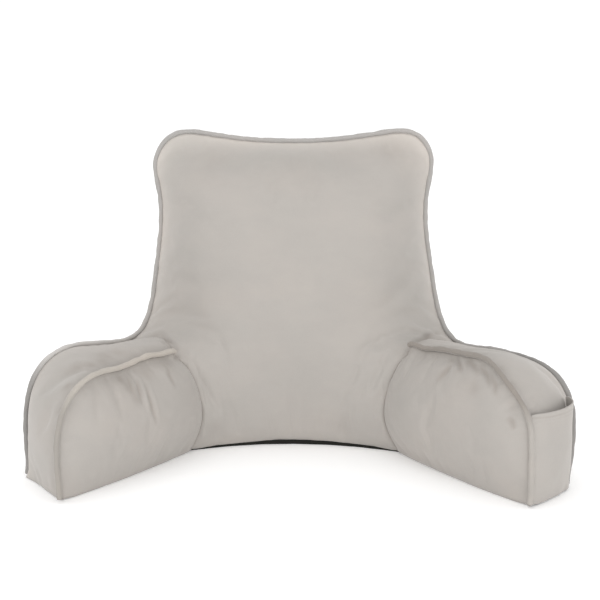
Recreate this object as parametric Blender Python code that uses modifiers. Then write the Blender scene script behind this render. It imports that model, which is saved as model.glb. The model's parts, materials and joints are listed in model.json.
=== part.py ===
"""Backrest pillow: a filled bed rest with a tall back, two arms that splay out,
piping along its seams, a dark base sheet and a slip pocket on one arm.

Metres, +Z up, and the sitter leans on the back's front, which faces -Y.
The tables hold the seams of the half at +X. The other half is its mirror image,
and SETTLING then pushes the filling about, as use does.
"""

import math
from collections import defaultdict, namedtuple

import bmesh
import bpy
from mathutils import Matrix, Vector
from mathutils.bvhtree import BVHTree

# Sizes that drive the rest
BASE_SHEET = 0.003
GAP = 0.0003
FLOOR = BASE_SHEET + GAP
PIPING_RADIUS = 0.004
PIPING_END = 0.007
CLOTH = 0.0024
ARM_CROWNS = (0.0, 0.010, 0.012, 0.010, 0.006, 0.004, 0.004, 0.004, 0.003, 0.0)
PANEL_PUFF = 0.024
WALL_PUFF = 0.012
FOOT_BOW = 0.006
LIFT = 0.006
POCKET_EDGE = 0.0038
POCKET_FOOT = 0.008
POCKET_MOUTH = (0.134, 0.135)
POCKET_GAPE = 0.013
POCKET_HANG = 1.0

# Steps of the cage between the seam corners
JUNCTION_STEPS = 3
SHOULDER_STEPS = 2
ARM_TOP_STEPS = 6
BACK_STEPS = 5
FRONT_SHARES = (1.0, 0.86, 0.68, 0.46, 0.23, 0.0)
REAR_SHARES = (1.0, 0.78, 0.52, 0.26, 0.0)
POCKET_STEPS = 10

Point = namedtuple("Point", "across depth height")
Row = namedtuple("Row", "depth height squareness")
Push = namedtuple("Push", "across depth height reach by_across by_depth by_height")
Seam = namedtuple("Seam", "mark crease")

SEAMS = {
    "outer": Seam(1, 1.0),
    "arm": Seam(2, 1.0),
    "junction": Seam(3, 0.8),
    "rim": Seam(4, 1.0),
}

# The piped seam round the arm's inner panel, from its foot to where it meets the back
INNER_SEAM = (
    Point(0.326, -0.306, FLOOR),
    Point(0.330, -0.320, 0.058),
    Point(0.328, -0.316, 0.120),
    Point(0.312, -0.288, 0.159),
    Point(0.289, -0.243, 0.177),
    Point(0.266, -0.199, 0.182),
    Point(0.245, -0.159, 0.180),
    Point(0.224, -0.122, 0.176),
    Point(0.202, -0.086, 0.171),
    Point(0.182, -0.055, 0.166),
)

# The piped seam round the outside of the arm, from its foot to the shoulder
OUTER_SEAM = (
    Point(0.400, -0.201, FLOOR),
    Point(0.404, -0.208, 0.055),
    Point(0.403, -0.206, 0.118),
    Point(0.388, -0.178, 0.155),
    Point(0.366, -0.138, 0.168),
    Point(0.343, -0.094, 0.171),
    Point(0.319, -0.051, 0.167),
    Point(0.296, -0.007, 0.162),
    Point(0.276, 0.033, 0.161),
    Point(0.254, 0.070, 0.174),
)

# The same seam from the shoulder up the back's side, round the ear and along the top
BACK_SEAM = (
    OUTER_SEAM[-1],
    Point(0.239, 0.098, 0.217),
    Point(0.230, 0.110, 0.280),
    Point(0.220, 0.114, 0.345),
    Point(0.221, 0.117, 0.405),
    Point(0.238, 0.119, 0.460),
    Point(0.208, 0.120, 0.506),
    Point(0.158, 0.121, 0.500),
    Point(0.105, 0.122, 0.490),
    Point(0.052, 0.122, 0.485),
    Point(0.000, 0.122, 0.484),
)

# The plain seam between the back and the arm's inner panel, from the floor up
JUNCTION = (
    Point(0.166, -0.042, FLOOR),
    Point(0.138, -0.060, 0.050),
    Point(0.150, -0.062, 0.115),
    INNER_SEAM[-1],
)

SHOULDER = (INNER_SEAM[-1], Point(0.219, 0.008, 0.172), BACK_SEAM[0])

# The back corner of the footprint, and the line above it up to the shoulder
REAR_CORNER = (
    Point(0.228, 0.106, FLOOR),
    Point(0.240, 0.112, 0.055),
    Point(0.248, 0.110, 0.100),
    Point(0.253, 0.102, 0.137),
    Point(0.256, 0.088, 0.160),
    BACK_SEAM[0],
)

# The outer wall's foot, from the arm's tip to the back corner
OUTER_FOOT = (
    OUTER_SEAM[0],
    Point(0.374, -0.108, FLOOR),
    Point(0.332, -0.024, FLOOR),
    Point(0.282, 0.050, FLOOR),
    REAR_CORNER[0],
)

# Middle of the back, front and rear, a row for each step up its height
FRONT_ROWS = (
    Row(0.000, FLOOR, 2.000),
    Row(-0.014, 0.060, 2.000),
    Row(-0.022, 0.115, 2.000),
    Row(-0.024, 0.165, 2.000),
    Row(-0.021, 0.210, 2.500),
    Row(-0.017, 0.255, 3.000),
    Row(-0.010, 0.300, 4.500),
    Row(0.000, 0.345, 6.000),
    Row(0.012, 0.390, 6.000),
    Row(0.034, 0.440, 6.000),
)
REAR_ROWS = (
    Row(0.165, FLOOR, 3.000),
    Row(0.182, 0.060, 3.000),
    Row(0.190, 0.110, 3.500),
    Row(0.192, 0.155, 4.000),
    Row(0.192, 0.200, 4.000),
    Row(0.191, 0.245, 4.000),
    Row(0.188, 0.290, 5.000),
    Row(0.184, 0.335, 5.000),
    Row(0.179, 0.378, 5.000),
    Row(0.170, 0.420, 5.000),
    Row(0.154, 0.460, 5.000),
)

# The base sheet's outline: flush at the back's front edge, tucked in elsewhere
BASE_OUTLINE = (
    Point(0.000, 0.000, 0.0),
    Point(0.055, -0.004, 0.0),
    Point(0.105, -0.016, 0.0),
    Point(0.148, -0.033, 0.0),
    Point(0.180, -0.048, 0.0),
    Point(0.255, -0.170, 0.0),
    Point(0.322, -0.282, 0.0),
    Point(0.384, -0.200, 0.0),
    Point(0.340, -0.108, 0.0),
    Point(0.292, -0.010, 0.0),
    Point(0.254, 0.056, 0.0),
    Point(0.214, 0.096, 0.0),
    Point(0.160, 0.122, 0.0),
    Point(0.085, 0.143, 0.0),
    Point(0.000, 0.150, 0.0),
)

# The way the arm's inner panel faces
PANEL_OUT = Vector((-0.853, -0.522, 0.0))

# Where use has moved the filling: a place, how far round it is felt, and the move
SETTLING = (
    Push(0.00, 0.10, 0.40, 0.60, -0.013, 0.000, 0.000),
    Push(0.28, -0.24, 0.19, 0.16, 0.000, 0.000, 0.009),
    Push(-0.27, -0.21, 0.17, 0.18, 0.000, 0.000, -0.026),
    Push(-0.37, -0.13, 0.17, 0.12, 0.000, 0.000, 0.012),
    Push(-0.40, -0.20, 0.10, 0.20, 0.005, 0.012, 0.000),
    Push(0.40, -0.25, 0.10, 0.20, 0.003, -0.006, 0.000),
    Push(0.37, -0.25, 0.00, 0.09, 0.014, -0.008, 0.000),
    Push(0.26, 0.06, 0.18, 0.10, -0.003, 0.000, -0.007),
    Push(-0.27, 0.06, 0.18, 0.10, 0.003, 0.000, -0.004),
    Push(-0.24, 0.12, 0.48, 0.06, -0.001, 0.000, -0.012),
)


def clear_scene():
    for thing in list(bpy.data.objects):
        bpy.data.objects.remove(thing)


def fabric(name, colour, roughness):
    finish = bpy.data.materials.new(name)
    finish.use_nodes = True
    shader = finish.node_tree.nodes["Principled BSDF"]
    shader.inputs["Base Color"].default_value = (*colour, 1.0)
    shader.inputs["Roughness"].default_value = roughness
    shader.inputs["Metallic"].default_value = 0.0
    return finish


def new_object(name, data, collection, material):
    thing = bpy.data.objects.new(name, data)
    thing.data.name = name
    thing.data.materials.append(material)
    collection.objects.link(thing)
    return thing


def vectors(points):
    return [Vector(point) for point in points]


def straight(start, end, steps):
    return [start.lerp(end, step / steps) for step in range(steps + 1)]


def settled(point):
    """The point after the filling has been pushed about."""
    moved = point.copy()
    above_floor = min(1.0, max(0.0, (point.z - FLOOR) / 0.05))
    moved.z += LIFT * above_floor
    for push in SETTLING:
        away = (point - Vector((push.across, push.depth, push.height))).length / push.reach
        felt = max(0.0, 1.0 - away * away) ** 2
        by_height = push.by_height * above_floor
        moved += felt * Vector((push.by_across, push.by_depth, by_height))
    return moved


def spanned(bottom, top, left, right):
    """A Coons patch: rows of points between four edges that share their corners."""
    rows = []
    for j, (start, end) in enumerate(zip(left, right)):
        v = j / (len(left) - 1)
        row = []
        for i, (low, high) in enumerate(zip(bottom, top)):
            u = i / (len(bottom) - 1)
            ruled = low.lerp(high, v) + start.lerp(end, u)
            corners = bottom[0].lerp(bottom[-1], u).lerp(top[0].lerp(top[-1], u), v)
            row.append(ruled - corners)
        rows.append(row)
    return rows


def puffed(rows, height, outward):
    """Lifts a patch between its seams, as its filling does."""
    for j, row in enumerate(rows):
        across = abs(math.sin(math.pi * j / (len(rows) - 1))) ** 0.6
        for i, point in enumerate(row):
            along = abs(math.sin(math.pi * i / (len(row) - 1))) ** 0.6
            point += outward * height * across * along
    return rows


def back_row(edge, middle, shares):
    """Half a row of the back, from its edge point to the middle of the back."""
    row = []
    for share in shares:
        depth = edge.y + (middle.depth - edge.y) * (1 - share**middle.squareness)
        height = edge.z + (middle.height - edge.z) * (1 - share * share)
        row.append(Vector((edge.x * share, depth, height)))
    return row


def arm_strip(inner, outer, last):
    """The arm's front and top, between its two piped seams, crowned along its middle."""
    middle = []
    for index, (near, far) in enumerate(zip(inner, outer)):
        after = inner[min(index + 1, len(inner) - 1)]
        before = inner[max(index - 1, 0)]
        outward = (far - near).cross(after - before).normalized()
        middle.append((near + far) / 2 + outward * ARM_CROWNS[index])
    middle[-1] = last
    return [inner, middle, outer]


def half_cage():
    """The half's panels as rows of points, its soles as outlines and its seams."""
    inner, outer = vectors(INNER_SEAM), vectors(OUTER_SEAM)
    junction, shoulder = vectors(JUNCTION), vectors(SHOULDER)
    back, rear_corner = vectors(BACK_SEAM), vectors(REAR_CORNER)
    outer_foot = vectors(OUTER_FOOT)

    foot = straight(inner[0], junction[0], ARM_TOP_STEPS)
    for step, point in enumerate(foot):
        point += PANEL_OUT * FOOT_BOW * math.sin(math.pi * step / ARM_TOP_STEPS)
    corner = JUNCTION_STEPS
    inner_panel = spanned(foot, inner[corner:], inner[: corner + 1], junction)
    puffed(inner_panel, PANEL_PUFF, PANEL_OUT)
    strip = arm_strip(inner, outer, shoulder[1])
    corner = JUNCTION_STEPS + SHOULDER_STEPS
    wall = spanned(outer_foot, outer[corner:], outer[: corner + 1], rear_corner)
    puffed(wall, WALL_PUFF, -PANEL_OUT)

    edge = junction + shoulder[1:] + back[1:BACK_STEPS]
    front = [back_row(point, row, FRONT_SHARES) for point, row in zip(edge, FRONT_ROWS)]
    front.append(back[BACK_STEPS:])
    edge = rear_corner + back[1 : BACK_STEPS + 1]
    rear = [back_row(point, row, REAR_SHARES) for point, row in zip(edge, REAR_ROWS)]
    rear.append(back[BACK_STEPS + 1 :])

    under = straight(rear_corner[0], junction[0], 2)
    arm_sole = foot + under[1::-1] + outer_foot[-2::-1] + [strip[1][0]]
    back_sole = front[0] + rear[0][::-1] + under[1:-1]
    seams = {"outer": outer + back[1:], "arm": inner, "junction": junction}
    seams["rim"] = [outer[0], strip[1][0]] + foot + front[0][1:]
    seams["rim back"] = outer_foot + rear[0][1:]
    return (inner_panel, strip, wall, front, rear), (arm_sole, back_sole), seams


def body_cage():
    """The whole cage of the filled body, with each seam marked and creased."""
    panels, soles, seams = half_cage()
    work = bmesh.new()
    mark = work.edges.layers.int.new("seam")
    crease = work.edges.layers.float.new("crease_edge")
    for rows in panels:
        grid = [[work.verts.new(point) for point in row] for row in rows]
        for low, high in zip(grid, grid[1:]):
            for corners in zip(low, low[1:], high[1:], high):
                work.faces.new(corners)
    for outline in soles:
        work.faces.new([work.verts.new(point) for point in outline])
    bmesh.ops.remove_doubles(work, verts=work.verts, dist=0.0001)
    for name, points in seams.items():
        seam = SEAMS[name.split()[0]]
        ends = [min(work.verts, key=lambda vert: (vert.co - point).length) for point in points]
        for pair in zip(ends, ends[1:]):
            edge = work.edges.get(pair)
            edge[mark], edge[crease] = seam
    everything = work.verts[:] + work.edges[:] + work.faces[:]
    bmesh.ops.mirror(work, geom=everything, axis="X", merge_dist=0.0001)
    bmesh.ops.recalc_face_normals(work, faces=work.faces)
    for vert in work.verts:
        vert.co = settled(vert.co)
    mesh = bpy.data.meshes.new("body")
    work.to_mesh(mesh)
    work.free()
    return mesh


def evaluated(thing):
    graph = bpy.context.evaluated_depsgraph_get()
    return thing.evaluated_get(graph).to_mesh()


def seam_path(skin, mark, side):
    """The marked seam's vertices in order, from its foot. Side 0 takes both sides."""
    links = defaultdict(list)
    for edge, value in zip(skin.edges, skin.attributes["seam"].data):
        start, end = edge.vertices
        on_side = side * (skin.vertices[start].co.x + skin.vertices[end].co.x) >= 0
        if value.value == mark and on_side:
            links[start].append(end)
            links[end].append(start)
    ends = [index for index, others in links.items() if len(others) == 1]
    order = [min(ends, key=lambda index: skin.vertices[index].co.z)]
    while True:
        onward = [index for index in links[order[-1]] if index not in order[-2:]]
        if not onward:
            return [skin.vertices[index] for index in order]
        order.append(onward[0])


def stood_off(point, tree, distance):
    """The point moved away from the body until it is that distance clear of it."""
    for _ in range(6):
        near, _, _, clear = tree.find_nearest(point)
        if clear < distance:
            point = point + (point - near).normalized() * (distance - clear)
    return point


def foot_of(lowest, above, distance):
    """Where a cord that comes down the seam ends, a little above the floor."""
    outward = Vector((above.normal.x, above.normal.y, 0.0)).normalized()
    place = lowest.co.lerp(above.co, 0.2) + outward * (distance + GAP)
    place.z = PIPING_END
    return place


def piping(name, path, tree, collection, material, stop):
    """A round cord along a seam, just clear of the cloth it is sewn to."""
    distance = PIPING_RADIUS + GAP
    places = [vert.co + vert.normal * distance for vert in path[: len(path) - stop]]
    places = [stood_off(place, tree, distance) for place in places]
    places[0] = foot_of(path[0], path[1], distance)
    if stop == 0:
        places[-1] = foot_of(path[-1], path[-2], distance)
    curve = bpy.data.curves.new(name, "CURVE")
    curve.dimensions = "3D"
    curve.bevel_depth = PIPING_RADIUS
    curve.bevel_resolution = 2
    curve.use_fill_caps = True
    spline = curve.splines.new("POLY")
    spline.points.add(len(places) - 1)
    for target, place in zip(spline.points, places):
        target.co = (*place, 1.0)
    return new_object(name, curve, collection, material)


def at_height(path, height):
    """Where the seam, followed up from its foot, first reaches that height."""
    for low, high in zip(path, path[1:]):
        if low.co.z <= height <= high.co.z:
            share = (height - low.co.z) / (high.co.z - low.co.z)
            return low.co.lerp(high.co, share)
    return path[0].co.copy()


def pocket(inner, outer, tree, collection, material):
    """The slip pocket: a panel over the arm's front, open and slack along its top."""
    work = bmesh.new()
    rows = []
    furthest = [-1.0] * (POCKET_STEPS + 1)
    for level in range(POCKET_STEPS + 1):
        up = level / POCKET_STEPS
        heights = [POCKET_FOOT + (mouth - POCKET_FOOT) * up for mouth in POCKET_MOUTH]
        near, far = at_height(inner, heights[0]), at_height(outer, heights[1])
        along = (far - near).normalized()
        outward = Vector((along.y, -along.x, 0.0)).normalized()
        near, far = near + along * POCKET_EDGE, far - along * POCKET_EDGE
        row = []
        for step in range(POCKET_STEPS + 1):
            share = step / POCKET_STEPS
            start = near.lerp(far, share) + outward * 0.08
            hit = tree.ray_cast(start, -outward)[0]
            reached = hit.dot(outward)
            furthest[step] = max(furthest[step], reached)
            held = abs(math.sin(math.pi * share)) ** 0.5
            slack = held * (POCKET_GAPE * up**0.5 + POCKET_HANG * (furthest[step] - reached))
            row.append(work.verts.new(hit + outward * (GAP * 3 + CLOTH / 2 + slack)))
        rows.append(row)
    for low, high in zip(rows, rows[1:]):
        for corners in zip(low, low[1:], high[1:], high):
            work.faces.new(corners)
    mesh = bpy.data.meshes.new("pocket")
    work.to_mesh(mesh)
    work.free()
    panel = new_object("pocket", mesh, collection, material)
    thick = panel.modifiers.new("cloth", "SOLIDIFY")
    thick.thickness = CLOTH
    thick.offset = 0.0
    return panel


def base_sheet(collection, material):
    """The dark sheet underneath, which the pillow rests on."""
    half = vectors(BASE_OUTLINE)
    outline = half + [Vector((-point.x, point.y, 0.0)) for point in half[-2:0:-1]]
    work = bmesh.new()
    sole = work.faces.new([work.verts.new(settled(point)) for point in outline])
    raised = bmesh.ops.extrude_face_region(work, geom=[sole])["geom"]
    for vert in raised:
        if isinstance(vert, bmesh.types.BMVert):
            vert.co.z = BASE_SHEET
    bmesh.ops.recalc_face_normals(work, faces=work.faces)
    mesh = bpy.data.meshes.new("base_sheet")
    work.to_mesh(mesh)
    work.free()
    return new_object("base_sheet", mesh, collection, material)


def centre(things):
    """Moves everything so that the middle of its footprint is at the origin."""
    places = [vert.co for thing in things for vert in evaluated(thing).vertices]
    across = (min(p.x for p in places) + max(p.x for p in places)) / 2
    depth = (min(p.y for p in places) + max(p.y for p in places)) / 2
    for thing in things:
        thing.data.transform(Matrix.Translation((-across, -depth, 0.0)))


def main():
    clear_scene()
    collection = bpy.data.collections.new("backrest_pillow")
    bpy.context.scene.collection.children.link(collection)
    velvet = fabric("velvet", (0.53, 0.49, 0.46), 0.85)
    cord_velvet = fabric("cord_velvet", (0.42, 0.39, 0.36), 0.85)
    dark_cloth = fabric("dark_cloth", (0.05, 0.05, 0.045), 0.9)

    body = new_object("body", body_cage(), collection, velvet)
    soft = body.modifiers.new("soft", "SUBSURF")
    soft.levels = soft.render_levels = 2
    skin = evaluated(body)
    tree = BVHTree.FromPolygons(
        [vert.co.copy() for vert in skin.vertices],
        [tuple(face.vertices) for face in skin.polygons],
    )
    outer = seam_path(skin, SEAMS["outer"].mark, 0)
    right = seam_path(skin, SEAMS["arm"].mark, 1)
    left = seam_path(skin, SEAMS["arm"].mark, -1)
    things = [
        body,
        piping("outer_piping", outer, tree, collection, cord_velvet, 0),
        piping("arm_piping_left", left, tree, collection, cord_velvet, 2),
        piping("arm_piping_right", right, tree, collection, cord_velvet, 2),
        pocket(right, outer if outer[0].co.x > 0 else outer[::-1], tree, collection, velvet),
        base_sheet(collection, dark_cloth),
    ]
    centre(things)


main()
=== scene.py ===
# %% [markdown]
# # A velvet backrest pillow
#
# The object is a filled bed rest: a tall back, two arms that splay out, round cords
# sewn into its main seams, a slip pocket on the front of one arm and a dark cloth
# underneath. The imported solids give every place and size. This lesson makes the same
# pillow again as sewn velvet: the filling swells between its seams, the cloth gathers
# along the cords, and each finish has the detail that the real one shows.

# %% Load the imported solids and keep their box
import heapq
import json
import math
from collections import namedtuple

import bmesh
import bpy
import numpy as np
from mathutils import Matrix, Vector, noise
from mathutils.bvhtree import BVHTree
from mathutils.kdtree import KDTree

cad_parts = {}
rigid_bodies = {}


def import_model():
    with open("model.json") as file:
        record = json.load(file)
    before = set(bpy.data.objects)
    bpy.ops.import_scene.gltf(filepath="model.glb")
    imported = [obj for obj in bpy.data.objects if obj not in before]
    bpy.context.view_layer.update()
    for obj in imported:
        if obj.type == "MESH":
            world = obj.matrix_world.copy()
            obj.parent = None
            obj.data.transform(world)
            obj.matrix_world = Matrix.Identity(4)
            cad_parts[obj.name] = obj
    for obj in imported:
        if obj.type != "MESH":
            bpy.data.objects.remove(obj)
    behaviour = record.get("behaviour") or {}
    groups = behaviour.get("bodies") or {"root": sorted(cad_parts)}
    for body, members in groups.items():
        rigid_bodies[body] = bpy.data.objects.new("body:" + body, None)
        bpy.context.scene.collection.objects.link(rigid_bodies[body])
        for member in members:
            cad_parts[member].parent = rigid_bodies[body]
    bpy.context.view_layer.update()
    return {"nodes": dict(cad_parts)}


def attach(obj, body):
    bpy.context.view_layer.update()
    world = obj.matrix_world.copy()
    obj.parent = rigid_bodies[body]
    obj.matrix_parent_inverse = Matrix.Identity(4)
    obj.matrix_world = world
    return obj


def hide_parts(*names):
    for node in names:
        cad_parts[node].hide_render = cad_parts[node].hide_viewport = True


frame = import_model()
nodes = frame["nodes"]
scene = bpy.context.scene

# %% [markdown]
# ## Camera, floor and light
#
# The camera stands a little right of the middle and looks down nine degrees, through
# a 72 mm lens, which keeps the arms from growing too large at the front. Its place was
# worked out from where the feet, the shoulders and the pocket fall in the picture.

# %% Camera
PICTURE_SIDE = 600
LENS = 72.0
SENSOR = 36.0
CAMERA_PLACE = Vector((0.0485, -1.8514, 0.545))
CAMERA_TILT = 81.0
CAMERA_TURN = 1.5
CAMERA_SHIFT = 0.0033

camera_data = bpy.data.cameras.new("camera")
camera_data.lens = LENS
camera_data.sensor_width = SENSOR
camera_data.shift_x = CAMERA_SHIFT
camera = bpy.data.objects.new("camera", camera_data)
camera.location = CAMERA_PLACE
camera.rotation_euler = (math.radians(CAMERA_TILT), 0.0, math.radians(CAMERA_TURN))
scene.collection.objects.link(camera)
scene.camera = camera

# %% [markdown]
# The pillow stands on a white floor with no visible edge, and its shadows are faint.
# One bright sky of even white gives that soft shade under the arms, as a light tent
# does, and the floor glows a little, as the floor of a tent does. A low, wide panel at
# the front then brightens the fronts of the arms, and a weaker one overhead keeps
# their tops lighter than their sides.

# %% Floor and light
FLOOR_HALF = 20.0
FLOOR_WHITE = (0.95, 0.95, 0.95)
FLOOR_GLOW = 0.12
TENT_LIGHT = 1.06
PURE_WHITE = (1.0, 1.0, 1.0, 1.0)


def set_inputs(node, values):
    for name, value in values.items():
        node.inputs[name].default_value = value


def plain_material(name, colour, roughness):
    material = bpy.data.materials.new(name)
    material.use_nodes = True
    shader = material.node_tree.nodes["Principled BSDF"]
    set_inputs(shader, {"Base Color": (*colour, 1.0), "Roughness": roughness})
    return material


def softbox(name, place, target, size, power):
    lamp = bpy.data.lights.new(name, "AREA")
    lamp.shape = "RECTANGLE"
    lamp.size, lamp.size_y = size
    lamp.energy = power
    holder = bpy.data.objects.new(name, lamp)
    holder.location = place
    aim = Vector(target) - Vector(place)
    holder.rotation_euler = aim.to_track_quat("-Z", "Y").to_euler()
    scene.collection.objects.link(holder)


floor_mesh = bmesh.new()
bmesh.ops.create_grid(floor_mesh, x_segments=8, y_segments=8, size=FLOOR_HALF)
floor_data = bpy.data.meshes.new("floor")
floor_mesh.to_mesh(floor_data)
floor_mesh.free()
floor = bpy.data.objects.new("floor", floor_data)
white = plain_material("white floor", FLOOR_WHITE, 0.8)
glow = {"Emission Color": PURE_WHITE, "Emission Strength": FLOOR_GLOW}
set_inputs(white.node_tree.nodes["Principled BSDF"], glow)
floor.data.materials.append(white)
scene.collection.objects.link(floor)

world = bpy.data.worlds.new("white tent")
world.use_nodes = True
tent = {"Color": PURE_WHITE, "Strength": TENT_LIGHT}
set_inputs(world.node_tree.nodes["Background"], tent)
scene.world = world
scene.view_settings.view_transform = "Standard"

AIM = (0.0, 0.0, 0.1)
softbox("overhead", place=(-0.4, -0.9, 2.6), target=AIM, size=(2.4, 2.0), power=8.5)
softbox("front", place=(0.3, -3.2, 0.32), target=AIM, size=(2.2, 0.8), power=43.0)
print("camera at", tuple(CAMERA_PLACE), "lens", LENS)

# %% [markdown]
# ## Cloth finishes
#
# The cover is a short, matt velvet in a warm grey. Three things make velvet read as
# velvet: the pile is a fine even grain, it catches light at a glancing angle, and it
# lies in soft patches that are lighter or darker, warmer or cooler, where a hand has
# brushed it. The patches are low, wide noise in the colour. The grain is a small bump.
# Sheen is set on the shader itself. Patterns follow Object coordinates, because every
# piece keeps its own place in its mesh, so nothing slides.
#
# Two numbers on each vertex of the cloth paint light into its colour. One is painted
# shade in the seams, creases and folds, with darker spots beside the arm cords; the
# other is painted sheen that lightens the cloth along the rim of the back.

# %% Velvet
PLAIN = (1.0, 1.0, 1.0)
# Darkest painted shade, also used for the darker spots and patches
SHADE_AND_SPOTS_DARKEST = (0.62, 0.57, 0.53)
# Lightest painted sheen, along the rim of the back
RIM_SHEEN_LIGHTEST = (1.44, 1.43, 1.42)
LIGHT_STOP_SHIFT = 0.5
VELVET_ROUGHNESS = 0.88
PATCH_SCALE = 11.0
STROKE_SCALE = 60.0
GRAIN_SCALE = 1300.0
SHEEN = {
    "Sheen Weight": 0.30,
    "Sheen Roughness": 0.45,
    "Sheen Tint": (1.0, 0.97, 0.94, 1.0),
    "Specular IOR Level": 0.2,
}


def grey(level):
    return (level, level, level)


def link(tree, start, end):
    tree.links.new(start, end)


def added(tree, kind, values, links):
    """A new shader node, with its inputs set and linked."""
    node = tree.nodes.new("ShaderNode" + kind)
    set_inputs(node, values)
    for name, source in links.items():
        link(tree, source, node.inputs[name])
    return node


def noise_node(tree, source, scale, detail, roughness=0.5):
    values = {"Scale": scale, "Detail": detail, "Roughness": roughness}
    return added(tree, "TexNoise", values, {"Vector": source}).outputs["Fac"]


def stretched(tree, source, scale):
    return added(tree, "Mapping", {"Scale": scale}, {"Vector": source}).outputs["Vector"]


def ramp_node(tree, source, stops):
    node = added(tree, "ValToRGB", {}, {"Fac": source})
    while len(node.color_ramp.elements) < len(stops):
        node.color_ramp.elements.new(0.5)
    for element, (place, colour) in zip(node.color_ramp.elements, stops):
        element.position = place
        element.color = (*colour, 1.0)
    return node.outputs["Color"]


def multiplied(tree, first, second):
    node = tree.nodes.new("ShaderNodeMix")
    node.data_type = "RGBA"
    node.blend_type = "MULTIPLY"
    node.inputs["Factor"].default_value = 1.0
    link(tree, first, node.inputs[6])
    link(tree, second, node.inputs[7])
    return node.outputs[2]


def bump_node(tree, height, strength, distance, below=None):
    links = {"Height": height, "Normal": below} if below else {"Height": height}
    values = {"Strength": strength, "Distance": distance}
    return added(tree, "Bump", values, links).outputs["Normal"]


def painted_light_along(tree, place, mixed, axis, light_stops):
    """The colour times painted light and shade that change along one axis of the piece."""
    parts = added(tree, "SeparateXYZ", {}, {"Vector": place})
    shifted = added(tree, "Math", {1: LIGHT_STOP_SHIFT}, {0: parts.outputs[axis]})
    stops = [(where + LIGHT_STOP_SHIFT, brightness) for where, brightness in light_stops]
    return multiplied(tree, mixed, ramp_node(tree, shifted.outputs[0], stops))


def painted_from_number(tree, mixed, mark, shade):
    """The colour times painted shade or painted sheen, as much as the cloth's own number of that
    name brings in.
    """
    number = added(tree, "Attribute", {}, {})
    number.attribute_name = mark
    ends = ((0.0, PLAIN), (1.0, shade))
    return multiplied(tree, mixed, ramp_node(tree, number.outputs["Fac"], ends))


def velvet_material(name, colour, painted_light=False, axis=None, light_stops=()):
    """Short velvet, whose colour drifts in wide patches."""
    material = plain_material(name, colour, VELVET_ROUGHNESS)
    tree = material.node_tree
    shader = tree.nodes["Principled BSDF"]
    place = tree.nodes.new("ShaderNodeTexCoord").outputs["Object"]
    base = Vector(colour)
    warm = base * 1.025 + Vector((0.004, 0.0, -0.002))
    cool = base * 0.970 + Vector((-0.002, 0.001, 0.001))
    wide_way = stretched(tree, place, (0.7, 1.0, 1.2))
    patches = noise_node(tree, wide_way, PATCH_SCALE, 3.0)
    tone = ramp_node(tree, patches, [(0.30, cool), (0.5, base), (0.70, warm)])
    stroke_way = stretched(tree, place, (0.6, 1.0, 1.0))
    brushed = noise_node(tree, stroke_way, STROKE_SCALE, 3.0, 0.6)
    strokes = ramp_node(tree, brushed, [(0.3, grey(0.978)), (0.7, PLAIN)])
    grain = noise_node(tree, place, GRAIN_SCALE, 2.0)
    pile = ramp_node(tree, grain, [(0.25, grey(0.93)), (0.75, PLAIN)])
    mixed = multiplied(tree, multiplied(tree, tone, strokes), pile)
    if axis:
        mixed = painted_light_along(tree, place, mixed, axis, light_stops)
    if painted_light:
        # Painted shade in seams, creases and folds, with darker spots; then painted sheen along
        # the rim
        mixed = painted_from_number(tree, mixed, "shade_and_spots", SHADE_AND_SPOTS_DARKEST)
        mixed = painted_from_number(tree, mixed, "rim_sheen", RIM_SHEEN_LIGHTEST)
    link(tree, mixed, shader.inputs["Base Color"])
    soft = bump_node(tree, brushed, 0.25, 0.0008)
    link(tree, bump_node(tree, grain, 0.35, 0.0004, soft), shader.inputs["Normal"])
    set_inputs(shader, SHEEN)
    return material


velvet = velvet_material("warm grey velvet", (0.374, 0.350, 0.326), painted_light=True)

# %% [markdown]
# The cords are wrapped in strips cut on the bias. Each cord has painted light and
# shade along one axis: the outer cord has painted light over the left arm and painted
# shade at both outer feet, the left arm's cord has painted light over the top of the
# arm, and the right arm's cord has painted shade there.

# %% Velvet of the cords
# Painted shade at the outer feet and painted light over the left arm, along x
LEFT_SHADE_AND_LIGHT = ((-0.396, grey(0.72)), (-0.378, grey(1.45)), (-0.290, grey(1.45)))
OUTER_CORD_LIGHT_AND_SHADE = (*LEFT_SHADE_AND_LIGHT, (-0.260, PLAIN), (0.315, PLAIN), (0.340, grey(0.74)))
# Painted light over the left arm's top and painted shade over the right arm's top, along z
PAINTED_TOP_LIGHT = ((0.125, PLAIN), (0.165, (1.45, 1.43, 1.40)))
PAINTED_TOP_SHADE = ((0.115, PLAIN), (0.150, (0.72, 0.695, 0.675)))

OUTER_GREY = (0.350, 0.336, 0.322)
TOP_LIT_CORD_GREY = (0.295, 0.275, 0.251)
TOP_SHADED_CORD_GREY = (0.352, 0.329, 0.304)

cord_velvet = velvet_material("cord velvet with painted light and shade", OUTER_GREY, False, "X", OUTER_CORD_LIGHT_AND_SHADE)
arm_cord_lit_on_top = velvet_material("velvet with painted light on top", TOP_LIT_CORD_GREY, False, "Z", PAINTED_TOP_LIGHT)
arm_cord_shaded_on_top = velvet_material("velvet with painted shade on top", TOP_SHADED_CORD_GREY, False, "Z", PAINTED_TOP_SHADE)
print("cord velvets:", [m.name for m in (cord_velvet, arm_cord_lit_on_top, arm_cord_shaded_on_top)])

# %% [markdown]
# The cloth underneath is a thin dark woven lining. Only its front edge shows, as a
# black line under the back. Two waves at right angles would make a perfect grid, so a
# little noise bends them.

# %% Dark lining
WEAVE_SCALE = 260.0
DUST_SCALE = 30.0


def wave_node(tree, source, direction):
    values = {"Scale": WEAVE_SCALE, "Distortion": 1.5, "Detail": 1.0}
    node = added(tree, "TexWave", values, {"Vector": source})
    node.bands_direction = direction
    return node.outputs["Fac"]


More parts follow.
